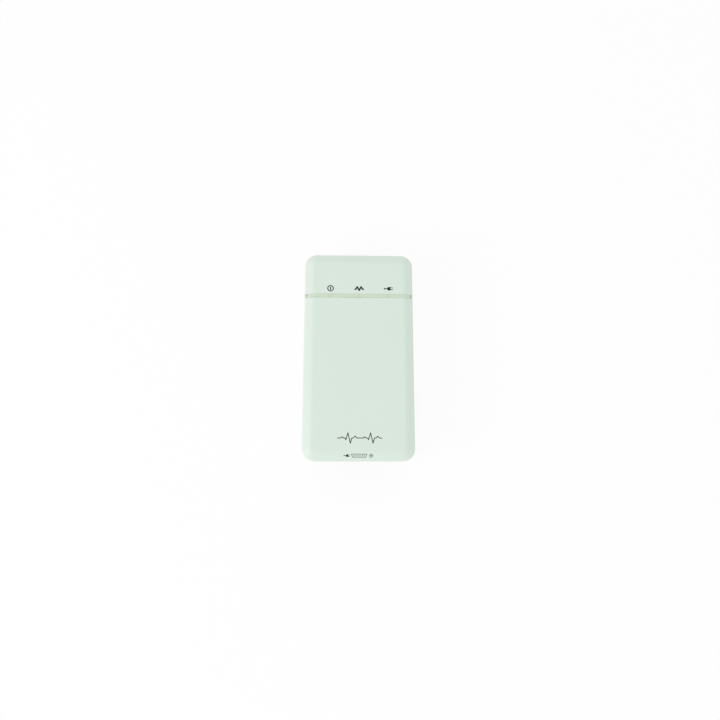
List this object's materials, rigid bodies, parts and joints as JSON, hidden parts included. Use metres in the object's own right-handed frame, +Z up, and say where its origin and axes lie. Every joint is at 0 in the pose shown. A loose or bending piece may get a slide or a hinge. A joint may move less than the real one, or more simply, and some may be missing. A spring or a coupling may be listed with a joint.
{
  "type": "pc ecg unit",
  "caption": "Flat hand-sized box that passes electrocardiogram leads to a computer: bevelled covers, light strip, screwed back, patient socket at one end and computer socket at the other.",
  "frame": {"origin": "centre of the box in plan, on the plane that its feet stand on", "axes": "+X across the width, +Y along the length to the end with the computer socket, +Z up out of the front face"},
  "size_m": [0.062, 0.118, 0.023],
  "materials": {
    "case_plastic": "satin, fine spark-eroded texture, pale mint",
    "light_guide": "translucent, pale yellow green",
    "label_film": "blank satin film",
    "foot_rubber": "matt",
    "zinc_steel": "zinc plated",
    "circuit_board": "glass fibre board under green lacquer",
    "nickel_plate": "bright nickel plate",
    "socket_plastic": "black moulding",
    "gold_contacts": "gold flashed",
    "chip_body": "black moulding compound",
    "ceramic_body": "sintered ceramic",
    "tinned_steel": "tin plated",
    "capacitor_can": "satin can",
    "ferrite": "sintered ferrite",
    "lamp_lens": "clear lens"
  },
  "bodies": {
    "root": {"front_cover": "case_plastic", "head_cap": "case_plastic", "back_cover": "case_plastic", "light_strip": "light_guide", "rating_label": "label_film", "foot_pads": "foot_rubber", "case_screws": "zinc_steel", "board_screws": "zinc_steel", "main_board": "circuit_board", "patient_socket_shell": "nickel_plate", "patient_socket_front_insulator": "socket_plastic", "patient_socket_rear_insulator": "socket_plastic", "patient_socket_contacts": "gold_contacts", "jack_nuts": "nickel_plate", "usb_socket_shell": "nickel_plate", "usb_socket_insulator": "socket_plastic", "usb_socket_contacts": "gold_contacts", "series_resistors": "chip_body", "surge_arresters": "ceramic_body", "shield_can": "tinned_steel", "front_end_chip": "chip_body", "chip_capacitors": "ceramic_body", "isolation_converter": "chip_body", "digital_isolator": "chip_body", "controller_chip": "chip_body", "clock_crystal": "tinned_steel", "voltage_regulator": "chip_body", "bulk_capacitors": "capacitor_can", "usb_choke": "ferrite", "status_leds": "lamp_lens"}
  },
  "joints": []
}
